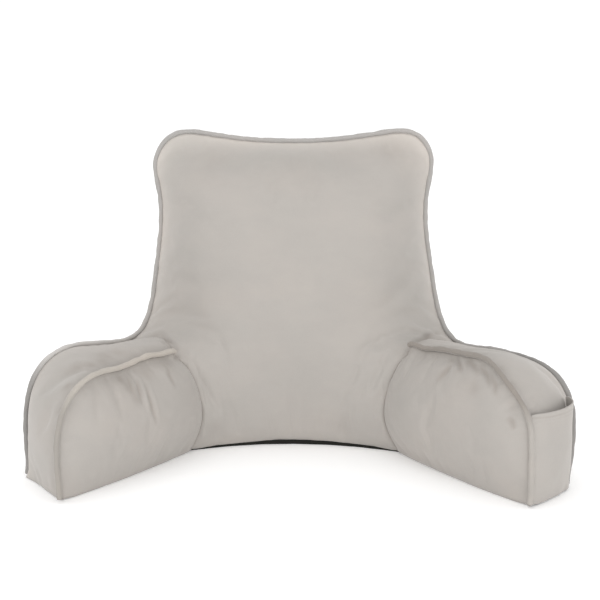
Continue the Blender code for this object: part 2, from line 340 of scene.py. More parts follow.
def woven_material(name, colour):
    material = plain_material(name, colour, 0.9)
    tree = material.node_tree
    shader = tree.nodes["Principled BSDF"]
    place = tree.nodes.new("ShaderNodeTexCoord").outputs["Object"]
    weave = multiplied(tree, wave_node(tree, place, "X"), wave_node(tree, place, "Y"))
    dust = noise_node(tree, place, DUST_SCALE, 4.0)
    tone = ramp_node(tree, dust, [(0.3, Vector(colour) * 0.8), (0.7, Vector(colour) * 1.25)])
    link(tree, tone, shader.inputs["Base Color"])
    link(tree, bump_node(tree, weave, 0.4, 0.0004), shader.inputs["Normal"])
    shader.inputs["Specular IOR Level"].default_value = 0.25
    return material


lining = woven_material("dark base lining", (0.010, 0.010, 0.008))
print("finishes:", [m.name for m in bpy.data.materials])

# %% [markdown]
# ## Reading the sewing lines from the solids
#
# Each cord follows a seam, and the solids already hold its route. A copy of a packed
# mesh is loose triangles, so it is merged first, and its triangles join back into
# quads. A cord's rings can then be walked one after another from its foot, and the
# middle of each ring is a point of its route.

# %% Joined copies and cord routes
WELD = 0.00002
JOIN_ANGLE = math.radians(120)
CORD_FOOT = 0.011


def joined_copy(node):
    """The node's mesh as a bmesh of quads, with its loose triangles joined up."""
    work = bmesh.new()
    work.from_mesh(nodes[node].data)
    bmesh.ops.remove_doubles(work, verts=work.verts, dist=WELD)
    bmesh.ops.join_triangles(
        work,
        faces=work.faces,
        angle_face_threshold=JOIN_ANGLE,
        angle_shape_threshold=JOIN_ANGLE,
    )
    work.verts.ensure_lookup_table()
    work.verts.index_update()
    return work


def route_of(node, side):
    """The middle of each ring of a CAD cord, from its foot on that side to its end."""
    work = joined_copy(node)
    ring = [vert for vert in work.verts if vert.co.z < CORD_FOOT and side * vert.co.x > 0]
    seen, route = set(ring), []
    while ring:
        route.append(sum((vert.co for vert in ring), Vector()) / len(ring))
        onward = {edge.other_vert(vert) for vert in ring for edge in vert.link_edges} - seen
        seen |= onward
        ring = sorted(onward, key=lambda vert: vert.index)
    work.free()
    return route


routes = {
    "outer": route_of("outer_piping", -1),
    "left": route_of("arm_piping_left", -1),
    "right": route_of("arm_piping_right", 1),
}
print("cord points:", {name: len(route) for name, route in routes.items()})

# %% [markdown]
# ## The filled body
#
# The real cover is flat velvet panels sewn edge to edge and stuffed with shredded foam,
# so it swells between the seams and the seams stay put. A block with rounded edges
# would miss that, and so would sculpting by hand. Here the copy of the body is split
# finer, its seams are pinned, and a short cloth simulation with pressure inside does
# the stuffing. The seams are found first: the mesh vertex nearest to each cord point is
# on the seam, and the plain seam between the back and each arm is walked straight up
# the grid of quads from its foot.

# %% Find the seams on the body
Seams = namedtuple("Seams", "outer arms junctions shoulders")
SOLE_HEIGHT = 0.0036
OFF_GUIDE = 6.0
LEFT_CORNER = (-0.189, 0.008, 0.164)
RIGHT_CORNER = (0.171, 0.008, 0.164)
JUNCTION_GUIDES = (
    ((-0.172, 0.026, 0.003), (-0.152, 0.011, 0.059), (-0.162, 0.008, 0.119), LEFT_CORNER),
    ((0.160, 0.026, 0.003), (0.137, 0.011, 0.059), (0.145, 0.008, 0.119), RIGHT_CORNER),
)
SHOULDER_GUIDES = (
    (LEFT_CORNER, (-0.227, 0.070, 0.178), (-0.265, 0.138, 0.185)),
    (RIGHT_CORNER, (0.207, 0.070, 0.178), (0.246, 0.138, 0.185)),
)

body_work = joined_copy("body")
sole = [f for f in body_work.faces if all(v.co.z < SOLE_HEIGHT for v in f.verts)]
bmesh.ops.delete(body_work, geom=sole, context="FACES")
for name in ("piped", "plain", "fold"):
    body_work.verts.layers.float.new(name)
body_work.edges.layers.float.new("crease_edge")
body_work.verts.index_update()


def finder_of(points):
    """Finds the nearest of the points to a place."""
    points = list(points)
    finder = KDTree(len(points))
    for index, point in enumerate(points):
        finder.insert(point, index)
    finder.balance()
    return finder


def unit(value):
    """The value, kept from 0 to 1."""
    return max(0.0, min(1.0, value))


def nearest_verts(work, points):
    """The mesh vertex nearest to each point, without repeats."""
    work.verts.ensure_lookup_table()
    finder = finder_of(vert.co for vert in work.verts)
    found = []
    for point in points:
        vert = work.verts[finder.find(Vector(point))[1]]
        if vert not in found:
            found.append(vert)
    return found


def edge_path(start, end):
    """The vertices of the way along the edges from start to end that strays least."""
    ahead = end.co - start.co
    best, came, queue = {start.index: 0.0}, {}, [(0.0, start.index, start)]
    while queue:
        cost, _, vert = heapq.heappop(queue)
        if vert is end:
            break
        for edge in vert.link_edges:
            other = edge.other_vert(vert)
            gone = other.co - start.co
            share = unit(gone.dot(ahead) / ahead.length_squared)
            total = cost + edge.calc_length() + OFF_GUIDE * (gone - ahead * share).length
            if total < best.get(other.index, math.inf):
                best[other.index], came[other.index] = total, vert
                heapq.heappush(queue, (total, other.index, other))
    path = [end]
    while path[-1] is not start:
        path.append(came[path[-1].index])
    return path[::-1]


def sewn_path(work, guide):
    """The seam's vertices, from one end of its guide points to the other."""
    stops = nearest_verts(work, guide)
    path = stops[:1]
    for start, end in zip(stops, stops[1:]):
        path += edge_path(start, end)[1:]
    return path


junctions = [sewn_path(body_work, guide) for guide in JUNCTION_GUIDES]
shoulders = [sewn_path(body_work, guide) for guide in SHOULDER_GUIDES]
arms = [
    sewn_path(body_work, routes[name] + [junction[-1].co.copy()])
    for name, junction in zip(("left", "right"), junctions)
]
seams = Seams(sewn_path(body_work, routes["outer"]), arms, junctions, shoulders)
counts = [len(line) for line in arms + junctions + shoulders]
print("seam vertices:", len(seams.outer), counts)

# %% [markdown]
# The seams are written into the mesh as a number on each vertex and a crease on each
# edge, so a Subdivision Surface carries both on to the finer mesh: a new vertex on a
# seam keeps the full number, and one beside it gets less.

# %% Mark the seams and split the mesh finer
PIPED_SHARP = 1.0
PLAIN_SHARP = 0.9
FOLD_SHARP = 0.5


def mark_seams(work):
    """Writes each seam into the mesh: a full number on its vertices, creased edges."""
    layers = work.verts.layers.float
    crease = work.edges.layers.float["crease_edge"]
    marked = [(line, layers["piped"], PIPED_SHARP) for line in (seams.outer, *seams.arms)]
    marked += [(line, layers["plain"], PLAIN_SHARP) for line in seams.junctions]
    marked += [(line, layers["fold"], FOLD_SHARP) for line in seams.shoulders]
    for line, layer, sharp in marked:
        for vert in line:
            vert[layer] = 1.0
        for pair in zip(line, line[1:]):
            edge = work.edges.get(pair)
            if edge:
                edge[crease] = sharp
    for edge in work.edges:
        if edge.is_boundary:
            edge[crease] = 1.0


def as_object(name, work, material):
    """A smooth object of its own from a finished bmesh."""
    mesh = bpy.data.meshes.new(name)
    work.to_mesh(mesh)
    work.free()
    for spare in ("custom_normal", "sharp_face", "sharp_edge"):
        if spare in mesh.attributes:
            mesh.attributes.remove(mesh.attributes[spare])
    mesh.materials.clear()
    mesh.materials.append(material)
    mesh.shade_smooth()
    piece = bpy.data.objects.new(name, mesh)
    scene.collection.objects.link(piece)
    return piece


def modifiers_applied(piece):
    """Keeps what the piece's modifiers make, and takes the modifiers off."""
    graph = bpy.context.evaluated_depsgraph_get()
    mesh = bpy.data.meshes.new_from_object(piece.evaluated_get(graph), depsgraph=graph)
    old = piece.data
    piece.modifiers.clear()
    piece.data = mesh
    bpy.data.meshes.remove(old)
    mesh.name = piece.name


def split_finer(piece, levels):
    finer = piece.modifiers.new("finer", "SUBSURF")
    finer.levels = finer.render_levels = levels
    modifiers_applied(piece)


mark_seams(body_work)
plain_lines = [[vert.co.copy() for vert in line] for line in seams.junctions]
shoulder_lines = [[vert.co.copy() for vert in line] for line in seams.shoulders]
body = as_object("velvet_body", body_work, velvet)
split_finer(body, 1)
print("body:", len(body.data.vertices), "vertices before filling")

# %% [markdown]
# The simulation runs twenty steps with gravity off. Only the pressure pushes, the
# seams and the foot are pinned, and the cloth is cut two parts in a hundred too large,
# so it has something to gather. What the filling may add is capped smoothly, because
# the solids already hold the full size.

# %% Fill the body
PRESSURE = 4.0
EASE = -0.02
STEPS = 20
MOST_SWELL = 0.007
PINNED = 0.95
LOOSELY_HELD = 0.45
LOOSE_HOLD = 0.35
FOLD_HOLD = 0.6
FOOT_PINNED = 0.006


def numbers(mesh, name):
    values = np.zeros(len(mesh.vertices), np.float32)
    mesh.attributes[name].data.foreach_get("value", values)
    return values


def triples(items, name):
    flat = np.zeros(len(items) * 3, np.float32)
    items.foreach_get(name, flat)
    return flat.reshape(-1, 3).astype(float)


def places(mesh):
    return triples(mesh.vertices, "co")


def place_all(mesh, points):
    mesh.vertices.foreach_set("co", points.astype(np.float32).ravel())
    mesh.update()


def fill_with_foam(piece):
    """Swells the cloth between its pinned seams, and says how far it moved."""
    mesh = piece.data
    before = places(mesh)
    seam = np.maximum(numbers(mesh, "piped"), numbers(mesh, "plain"))
    seam = np.maximum(seam, numbers(mesh, "fold") * FOLD_HOLD)
    held = np.where(seam > PINNED, 1.0, np.where(seam > LOOSELY_HELD, LOOSE_HOLD * seam, 0.0))
    held[before[:, 2] < FOOT_PINNED] = 1.0
    group = piece.vertex_groups.new(name="held")
    for index in np.flatnonzero(held > 0):
        group.add([int(index)], float(held[index]), "REPLACE")
    cloth = piece.modifiers.new("filling", "CLOTH")
    fabric = cloth.settings
    fabric.quality = 6
    fabric.mass = 0.3
    fabric.tension_stiffness = fabric.compression_stiffness = 15.0
    fabric.shear_stiffness = 5.0
    fabric.bending_stiffness = 0.4
    fabric.use_pressure = True
    fabric.uniform_pressure_force = PRESSURE
    fabric.vertex_group_mass = "held"
    fabric.shrink_min = EASE
    fabric.effector_weights.gravity = 0.0
    cloth.collision_settings.use_collision = False
    cloth.point_cache.frame_start = 1
    cloth.point_cache.frame_end = STEPS
    for step in range(1, STEPS + 1):
        scene.frame_set(step)
    graph = bpy.context.evaluated_depsgraph_get()
    after = places(piece.evaluated_get(graph).data)
    piece.modifiers.clear()
    piece.vertex_groups.clear()
    scene.frame_set(1)
    swell = after - before
    length = np.linalg.norm(swell, axis=1)[:, None] + 1e-9
    place_all(mesh, before + swell / length * MOST_SWELL * np.tanh(length / MOST_SWELL))
    return float(length.mean()), float(length.max())


swelled = [round(1000 * move, 2) for move in fill_with_foam(body)]
print("the filling moves the cloth by", swelled[0], "mm, at most", swelled[1])
split_finer(body, 1)
print("body:", len(body.data.vertices), "vertices after filling")

# %% [markdown]
# ## Settled places
#
# The solids are even where the real pillow has settled: the left arm's cord dips before
# it meets the back, the right one rises, the top of the right arm lies lower and the
# right foot is turned in. These few wide moves are kept apart, because the cloth, its
# cords and the pocket all need them.

# %% Settled places
Sag = namedtuple("Sag", "place reach move")
SAGS = (
    # The arm cords where they meet the back, left and right
    Sag((-0.208, -0.018, 0.176), 0.045, (0.0, 0.0, -0.006)),
    Sag((0.170, 0.006, 0.168), 0.045, (0.0, 0.0, 0.009)),
    # The left arm's outer wall, and the right arm's outer foot
    Sag((-0.360, -0.180, 0.100), 0.150, (0.006, 0.0, 0.0)),
    Sag((0.408, -0.140, 0.0), 0.055, (-0.007, -0.016, 0.0)),
    # The bend of the left arm's cord, then of the right one, and the right one's crown
    Sag((-0.293, -0.180, 0.158), 0.085, (0.0, 0.0, 0.008)),
    Sag((0.301, -0.210, 0.172), 0.075, (-0.005, 0.0, -0.006)),
    Sag((0.250, -0.115, 0.195), 0.075, (0.0, 0.0, -0.005)),
    # The right arm's inner foot
    Sag((0.325, -0.248, 0.0), 0.075, (0.004, 0.0, 0.0)),
    # The outer cord over the right arm, from the back to the front
    Sag((0.271, 0.093, 0.167), 0.070, (0.0, 0.0, -0.004)),
    Sag((0.318, 0.010, 0.175), 0.110, (0.0, 0.0, -0.0055)),
    Sag((0.362, -0.070, 0.172), 0.110, (0.0, 0.0, -0.0055)),
)


def sagged(place):
    """The place after the filling has settled a little, for the cloth and its cords."""
    moved = Vector(place)
    for sag in SAGS:
        share = (Vector(place) - Vector(sag.place)).length / sag.reach
        moved += Vector(sag.move) * max(0.0, 1.0 - share * share) ** 2
    return moved


print("settled places:", len(SAGS))

# %% [markdown]
# ## Slip pocket
#
# The pocket is one flat panel of the same velvet, laid over the arm's front and caught
# in the seams on both sides. Its mouth is folded over and stitched down, and hangs
# slightly open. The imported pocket's outer side gives the panel's shape. It is kept as a
# sheet and split finer. Its sides are then drawn out under the cords and its foot down
# to the base seam, where the real panel is caught.

# %% Pocket panel
# How far the panel is drawn out at its near side, its far side and its foot
Hold = namedtuple("Hold", "near far foot")
POCKET_HOLD = Hold(0.0026, -0.0085, 0.0022)
SIDE_TUCK = 0.0012
FAR_TUCK_FOOT = -0.0035
FAR_TUCK_RISE = 0.0190
MOUTH_SAG = 0.0018
MOUTH_RISE = 0.0060
GAPE_LESS = 0.004
POCKET_CLOTH = 0.0014
HEM = 0.011
HEM_RISE = 0.0005
STITCH_DIP = 0.0006
STITCH_WIDTH = 0.0014
POCKET_LUMP = 0.0011
POCKET_LUMP_STEP = 0.03
POCKET_FACING = Vector((0.5, -0.86, 0.0))
OUTER_SIDE = 0.5
HALF_WAY_UP = 0.08
TUCK_FROM = 0.12
TUCK_OVER = 0.35
FAR_SLOPE = 1.5


def pocket_sheet():
    """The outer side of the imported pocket, as a sheet."""
    work = joined_copy("pocket")
    inner = [face for face in work.faces if face.normal.dot(POCKET_FACING) < OUTER_SIDE]
    bmesh.ops.delete(work, geom=inner, context="FACES")
    return work


pocket = as_object("slip_pocket", pocket_sheet(), velvet)
split_finer(pocket, 3)
panel_low, panel_high = Vector(pocket.bound_box[0]), Vector(pocket.bound_box[6])
panel_places = [vert.co.copy() for vert in pocket.data.vertices]
near_side = min(panel_places, key=lambda place: place.x + abs(place.z - HALF_WAY_UP))
far_side = max(panel_places, key=lambda place: place.y - abs(place.z - HALF_WAY_UP))
across_way = Vector((far_side.x - near_side.x, far_side.y - near_side.y, 0.0)).normalized()
panel_way = Vector((across_way.y, -across_way.x, 0.0))
print("pocket panel", round((far_side - near_side).length, 4), "m across")


def shape_pocket(piece):
    """Draws the panel out to its seams, lessens its gape and lays the hem."""
    ends = [near_side.dot(across_way), far_side.dot(across_way)]
    for vert in piece.data.vertices:
        share = unit((vert.co.dot(across_way) - ends[0]) / (ends[1] - ends[0]))
        up = (vert.co.z - panel_low.z) / (panel_high.z - panel_low.z)
        side = 2.0 * share - 1.0
        tucked = unit((up - TUCK_FROM) / TUCK_OVER)
        drawn = POCKET_HOLD.far * tucked if side > 0 else POCKET_HOLD.near
        vert.co += across_way * drawn * side**3
        far_part = max(0.0, FAR_SLOPE * side + 1.0 - FAR_SLOPE)
        vert.co -= panel_way * (FAR_TUCK_FOOT + FAR_TUCK_RISE * up) * far_part**2
        held = math.sin(math.pi * share) ** 0.5 if 0 < share < 1 else 0.0
        vert.co -= panel_way * SIDE_TUCK * abs(side) ** 9
        vert.co -= panel_way * GAPE_LESS * held * up**2
        vert.co.z -= (panel_low.z - POCKET_HOLD.foot) * (1.0 - up) ** 3
        vert.co.z += (MOUTH_RISE * share - MOUTH_SAG * held) * up**4
        lump = noise.noise(vert.co / POCKET_LUMP_STEP + Vector((7.0, 0.0, 0.0)))
        vert.co += panel_way * POCKET_LUMP * lump * held
        from_mouth = (1.0 - up) * (panel_high.z - panel_low.z)
        if from_mouth < HEM:
            vert.co += panel_way * HEM_RISE
        from_stitch = (from_mouth - HEM) / STITCH_WIDTH
        vert.co -= panel_way * STITCH_DIP * math.exp(-(from_stitch**2))
    piece.data.update()


shape_pocket(pocket)
for vert in pocket.data.vertices:
    vert.co = sagged(vert.co)
mouth_z = max(vert.co.z for vert in pocket.data.vertices)

# %% [markdown]
# ## Hand work on the cloth
#
# The simulation gives the fullness, but not the marks of sewing and use. Those are small
# moves of the vertices along their normals. A seam that holds a cord draws the cloth in
# beside it, and gathers it into short dents that point at the seam. The foam makes low
# lumps. For all of these, each vertex needs to know how far the nearest seam is, and how
# far along that seam it lies.

# %% Distances to the seams
Near = namedtuple("Near", "distance line far spot")
SEAM_STEP = 0.002


def along(points, step):
    """The polyline's points at even steps, with the distance walked at each."""
    points = [Vector(point) for point in points]
    found, walked_far = [(points[0], 0.0)], 0.0
    for start, end in zip(points, points[1:]):
        gap = (end - start).length
        count = max(1, round(gap / step))
        for i in range(1, count + 1):
            found.append((start.lerp(end, i / count), walked_far + gap * i / count))
        walked_far += gap
    return found


def nearest_on(lines, points):
    """For each point: its distance to the lines, the line's number, how far along it the
    nearest spot is, and that spot."""
    spots = []
    for number, line in enumerate(lines):
        spots += [(spot, far, number) for spot, far in along(line, SEAM_STEP)]
    finder = finder_of(spot for spot, _, _ in spots)
    rows = np.zeros((len(points), 6))
    for row, point in enumerate(points):
        _, index, distance = finder.find(point)
        spot, far, number = spots[index]
        rows[row] = distance, number, far, *spot
    return Near(rows[:, 0], rows[:, 1].astype(int), rows[:, 2], rows[:, 3:6])


def smooth_step(low, high, values):
    share = np.clip((values - low) / (high - low), 0.0, 1.0)
    return share * share * (3 - 2 * share)


body_points = places(body.data)
piped_lines = [
    routes["outer"],
    [*routes["left"], Vector(LEFT_CORNER)],
    [*routes["right"], Vector(RIGHT_CORNER)],
]
to_piped = nearest_on(piped_lines, body_points)
to_plain = nearest_on(plain_lines, body_points)
to_shoulder = nearest_on(shoulder_lines, body_points)
closest = round(to_piped.distance.min() * 1000, 1)
print("fine body points:", len(body_points), "nearest to a cord", closest, "mm")

# %% [markdown]
# Dents beside the cords come from smooth noise read along the seam, so they run out at
# right angles to it, as gathers do. Their reach into the cloth drifts too. The lumps
# Where cloth is drawn in beside the arm cords, on the plain seams and in the shoulder
# folds, a number on each vertex paints shade into the velvet, with darker patches beside
# the arm cords as well. Around the top of the back the cloth is pulled up to its cord
# instead, and a second number paints a sheen there, lightest next to the cord. The
# numbers that come in threes are for the outer cord, the left arm's cord and the right arm's.

# %% Draw in the seams, gather the cloth and lay the lumps
SEAM_REACH = 0.0045
DRAW_IN = (0.0003, 0.0040, 0.0036)
DRAW_WIDTH = 0.007
GATHER = (0.0010, 0.0020, 0.0016)
GATHER_STEP = 0.017
PLAIN_DIP = 0.0014
PLAIN_WIDTH = 0.006
SHOULDER_DIP = 0.0050
SHOULDER_WIDTH = 0.007
SHOULDER_FADE = 0.060
LUMP = 0.0024
LUMP_STEPS = (0.085, 0.038)
RIM_PULL = 0.0016
RIM_PULL_WIDTH = 0.014
RIM_FROM, RIM_FULL = 0.20, 0.28
# Reach of the painted sheen from the outer cord
RIM_SHEEN_WIDTH = 0.018
SEAM_SHADE = (0.0, 0.30, 0.30)
SEAM_SHADE_WIDTH = 0.004
# How dark the patches beside the arm cords get
DARK_PATCH = 0.17
DARK_PATCH_REACH = 0.022
DARK_PATCH_STEPS = (0.022, 0.009)
PLAIN_SHADE = 0.20
PLAIN_SHADE_WIDTH = 0.003
FOLD_SHADE = 0.45


def drift(values, step, seed):
    """Smooth noise from -1 to 1 along a distance."""
    return np.array([noise.noise(Vector((value / step, seed, 0.37 * seed))) for value in values])


def wide_noise(points, step, seed):
    """Smooth noise from -1 to 1 over the whole body."""
    shift = Vector((seed, 0.0, 0.0))
    return np.array([noise.noise(Vector(point) / step + shift) for point in points])


def bell(values, width):
    """One at nothing, and close to none from two widths on."""
    return np.exp(-((values / width) ** 2))


def hump(share):
    """Nothing at the seam, most at one width away, and little from three on."""
    return share * np.exp(1.0 - share)


def gathers(found, seed):
    """Short dents at right angles to a seam, from a distance and a place along it."""
    far = found.far + found.line * 7.3
    dent = drift(far, GATHER_STEP, seed) + 0.6 * drift(far, GATHER_STEP * 0.45, seed + 5)
    strong = np.clip(0.6 + 1.4 * drift(far, 0.10, seed + 9), 0.1, 1.3)
    reach = 0.010 + 0.010 * drift(far, 0.05, seed + 3)
    share = np.clip(found.distance - SEAM_REACH, 0.0, 1.0) / np.maximum(reach, 0.005)
    return -dent * strong * hump(share)


def worked_points(points, outward, fold):
    """Where the points go: drawn in, gathered, dipped, lumpy and pulled to the rim."""
    distance, line, plain = to_piped.distance, to_piped.line, to_plain.distance
    beside = np.clip(distance - SEAM_REACH, 0.0, 1.0) / DRAW_WIDTH
    move = -np.array(DRAW_IN)[line] * hump(beside)
    move += np.array(GATHER)[line] * gathers(to_piped, 2.0)
    move -= PLAIN_DIP * bell(plain, PLAIN_WIDTH)
    move -= SHOULDER_DIP * fold
    away = smooth_step(0.01, 0.06, distance) * smooth_step(0.004, 0.04, points[:, 2])
    away *= smooth_step(0.004, 0.03, plain)
    lumps = wide_noise(points, LUMP_STEPS[0], 3.0)
    lumps += 0.45 * wide_noise(points, LUMP_STEPS[1], 8.0)
    move += LUMP * lumps * away
    points = points + outward * move[:, None]
    pull = RIM_PULL * bell(distance, RIM_PULL_WIDTH) * (line == 0)
    pull *= smooth_step(RIM_FROM, RIM_FULL, points[:, 2])
    points += (to_piped.spot - points) / distance[:, None] * pull[:, None]
    return points


def painted_shade_and_spots(points, fold):
    """Painted shade beside the arm cords, on the plain seams and in the folds, with darker
    patches beside the arm cords.
    """
    distance, line = to_piped.distance, to_piped.line
    from_cord = np.clip(distance - SEAM_REACH, 0.0, 1.0)
    # Painted shade in the dip beside the arm cords
    shade_and_spots = np.array(SEAM_SHADE)[line] * bell(from_cord, SEAM_SHADE_WIDTH)
    # Darker patches beside the arm cords, over the tops of the arms
    dark_patches = wide_noise(points, DARK_PATCH_STEPS[0], 14.0)
    dark_patches += 0.5 * wide_noise(points, DARK_PATCH_STEPS[1], 19.0)
    beside_arm = bell(distance, DARK_PATCH_REACH) * (line > 0)
    beside_arm *= smooth_step(0.09, 0.14, points[:, 2])
    shade_and_spots = np.maximum(shade_and_spots, DARK_PATCH * smooth_step(-0.15, 0.5, dark_patches) * beside_arm)
    # Painted shade along the plain seams, and in the shoulder folds
    shade_and_spots = np.maximum(shade_and_spots, PLAIN_SHADE * bell(to_plain.distance, PLAIN_SHADE_WIDTH))
    return np.maximum(shade_and_spots, FOLD_SHADE * fold)


def painted_rim_sheen(points):
    """Painted sheen beside the outer cord, strongest at the top of the back."""
    from_cord = np.clip(to_piped.distance - SEAM_REACH, 0.0, 1.0)
    high = 0.5 + 0.5 * smooth_step(RIM_FROM, RIM_FULL, points[:, 2])
    return np.exp(-from_cord / RIM_SHEEN_WIDTH) * (to_piped.line == 0) * high


def marked(mesh, name, values):
    """Writes a number on each vertex, in a layer of that name."""
    layer = mesh.attributes.get(name) or mesh.attributes.new(name, "FLOAT", "POINT")
    layer.data.foreach_set("value", values.astype(np.float32))


def hand_work(mesh):
    """Moves the cloth for all of this, then marks its painted shade and darker patches, and its
    painted sheen.
    """
    fading = np.clip(1.0 - to_shoulder.far / SHOULDER_FADE, 0.0, 1.0)
    fold = fading * bell(to_shoulder.distance, SHOULDER_WIDTH)
    outward = triples(mesh.vertex_normals, "vector")
    points = worked_points(places(mesh), outward, fold)
    place_all(mesh, np.array([sagged(point) for point in points]))
    marked(mesh, "shade_and_spots", painted_shade_and_spots(points, fold))
    marked(mesh, "rim_sheen", painted_rim_sheen(points))


hand_work(body.data)
print("hand work on", len(body.data.vertices), "vertices")

# %% [markdown]
# ## Creases from the photograph
#
# A few creases are plain to see: short folds under the cord of the left arm, a fan of
# small ones under the cord of the right arm, and a fold at each shoulder. Each is
# written as spots on the picture. The camera's ray through a spot meets the cloth, so
# the crease lies where the picture shows it. A crease is a narrow dip with a low ridge
# on each side, deepest in its middle.
#
# The velvet is also darkened in spots, most of all along the arm cords. Where they sit
# in the creases, at the shoulders and in the corners by the plain seams, they are
# painted shade. Those spots are placed in the same way: where each one is on the
# picture, how wide it is on the cloth and how dark.

# %% Creases, their painted shade and darker spots
# Spots across and down on the picture, then the depth and width on the cloth
CREASES = (
    (((143, 380), (149, 395), (153, 410), (157, 425)), 0.0026, 0.0036),
    (((136, 378), (139, 391), (142, 404)), 0.0022, 0.0040),
    (((127, 374), (131, 388), (138, 401)), 0.0012, 0.0055),
    (((166, 364), (169, 374), (176, 388)), 0.0012, 0.0042),
    (((158, 333), (169, 341), (180, 352)), 0.0034, 0.0040),
    (((455, 357), (459, 364), (463, 372)), 0.0028, 0.0038),
    (((466, 359), (474, 366), (480, 376)), 0.0014, 0.0045),
    (((478, 364), (487, 375), (491, 388)), 0.0024, 0.0040),
    (((489, 371), (495, 384), (496, 396)), 0.0014, 0.0045),
    (((453, 364), (444, 373), (436, 383)), 0.0009, 0.0065),
    (((508, 417), (512, 423), (515, 430)), 0.0012, 0.0045),
    (((410, 345), (423, 339), (441, 332)), 0.0030, 0.0042),
)
RIDGE = 0.45
RIDGE_AWAY = 2.2
RAGGED_STEP = 0.012

# Across and down on the picture, width on the cloth, and depth of the shade
DARKER_SPOTS = (
    (67, 386, 0.008, 0.50), (73, 373, 0.013, 0.42), (88, 366, 0.015, 0.45),
    (101, 361, 0.013, 0.38), (61, 411, 0.007, 0.35), (80, 367, 0.020, 0.34),
    (104, 356, 0.020, 0.36), (119, 352, 0.018, 0.28), (120, 380, 0.014, 0.42),
    (129, 387, 0.012, 0.45), (137, 399, 0.009, 0.40), (147, 374, 0.012, 0.32),
    (167, 366, 0.013, 0.38), (155, 337, 0.010, 0.34), (168, 343, 0.008, 0.45),
    (453, 359, 0.008, 0.45), (470, 362, 0.010, 0.42), (483, 366, 0.009, 0.32),
    (499, 369, 0.010, 0.30), (511, 384, 0.009, 0.28), (460, 369, 0.007, 0.34),
    (512, 421, 0.005, 0.42), (474, 388, 0.013, 0.20), (523, 407, 0.007, 0.26),
    (437, 352, 0.012, 0.22), (216, 428, 0.016, 0.12), (344, 424, 0.018, 0.10),
    (388, 148, 0.030, 0.18), (345, 153, 0.032, 0.09), (213, 160, 0.036, 0.11),
    (300, 166, 0.040, 0.07),
)


def cloth_tree(piece):
    """The piece's surface, ready for rays and nearest points. The sole is filled with
    triangles in any order, so the faces are sorted, and every run finds the same."""
    faces = []
    for face in piece.data.polygons:
        corners = tuple(face.vertices)
        start = corners.index(min(corners)) if len(corners) == 3 else 0
        faces.append(corners[start:] + corners[:start])
    return BVHTree.FromPolygons([vert.co.copy() for vert in piece.data.vertices], sorted(faces))


def from_picture(x, y, tree):
    """Where the camera's ray through a spot of the picture meets the cloth."""
    reach = LENS / SENSOR * PICTURE_SIDE
    across = x - PICTURE_SIDE / 2 + CAMERA_SHIFT * PICTURE_SIDE
    ahead = Vector((across / reach, (PICTURE_SIDE / 2 - y) / reach, -1.0))
    ahead.rotate(camera.rotation_euler)
    return tree.ray_cast(CAMERA_PLACE, ahead.normalized())[0]


def lay_creases(piece):
    """Dips the cloth along each crease with painted shade in it, and darkens the listed spots.
    """
    mesh, tree = piece.data, cloth_tree(piece)
    points, outward = places(mesh), triples(mesh.vertex_normals, "vector")
    shade_and_spots = numbers(mesh, "shade_and_spots")
    for spots, depth, width in CREASES:
        line = [from_picture(x, y, tree) for x, y in spots]
        if None in line:
            print("a crease misses the cloth:", spots)
            continue
        found = nearest_on([line], points)
        length = sum((b - a).length for a, b in zip(line, line[1:]))
        taper = np.sin(np.pi * np.clip(found.far / length, 0.0, 1.0)) ** 0.6
        share = found.distance / width
        dip = bell(share, 1.0) - RIDGE * bell(share - RIDGE_AWAY, 1.0)
        points += outward * (-depth * taper * dip)[:, None]
        # Painted shade along the crease
        shade_and_spots = np.maximum(shade_and_spots, FOLD_SHADE * taper * bell(share, 1.0))
    ragged = 0.9 + 0.5 * wide_noise(points, RAGGED_STEP, 23.0)
    # Darker spots; in the creases, at the shoulders and by the plain seams they are painted
    # shade
    for x, y, reach, depth in DARKER_SPOTS:
        middle = from_picture(x, y, tree)
        if middle is None:
            print("a darker spot misses the cloth:", x, y)
            continue
        away = np.linalg.norm(points - np.array(middle), axis=1)
        shade_and_spots = np.maximum(shade_and_spots, depth * ragged * bell(away, reach))
    place_all(mesh, points)
    marked(mesh, "shade_and_spots", shade_and_spots)


lay_creases(body)
print("creases laid:", len(CREASES), "and darker spots:", len(DARKER_SPOTS))

# %% [markdown]
# The plain seam between the back and each arm shows as one fine dark line. The mesh is
# too coarse for it, so the seam's own edges are bevelled into a narrow strip, and the
# strip's middle is pushed in. The shoulder fold gets the same line where it starts, and
# it runs out after a few centimetres.

# %% Stitch lines
GROOVE_HALF = 0.0013
GROOVE_DEPTH = 0.0024
ON_SEAM = 0.99
STRIP_MIDDLE = 0.55


def narrow_strip(work, edges, half):
    """Bevels the edges into a strip of two faces side by side."""
    how = {"segments": 2, "profile": 0.5, "affect": "EDGES", "material": -1}
    bmesh.ops.bevel(work, geom=edges, offset=half, clamp_overlap=True, **how)


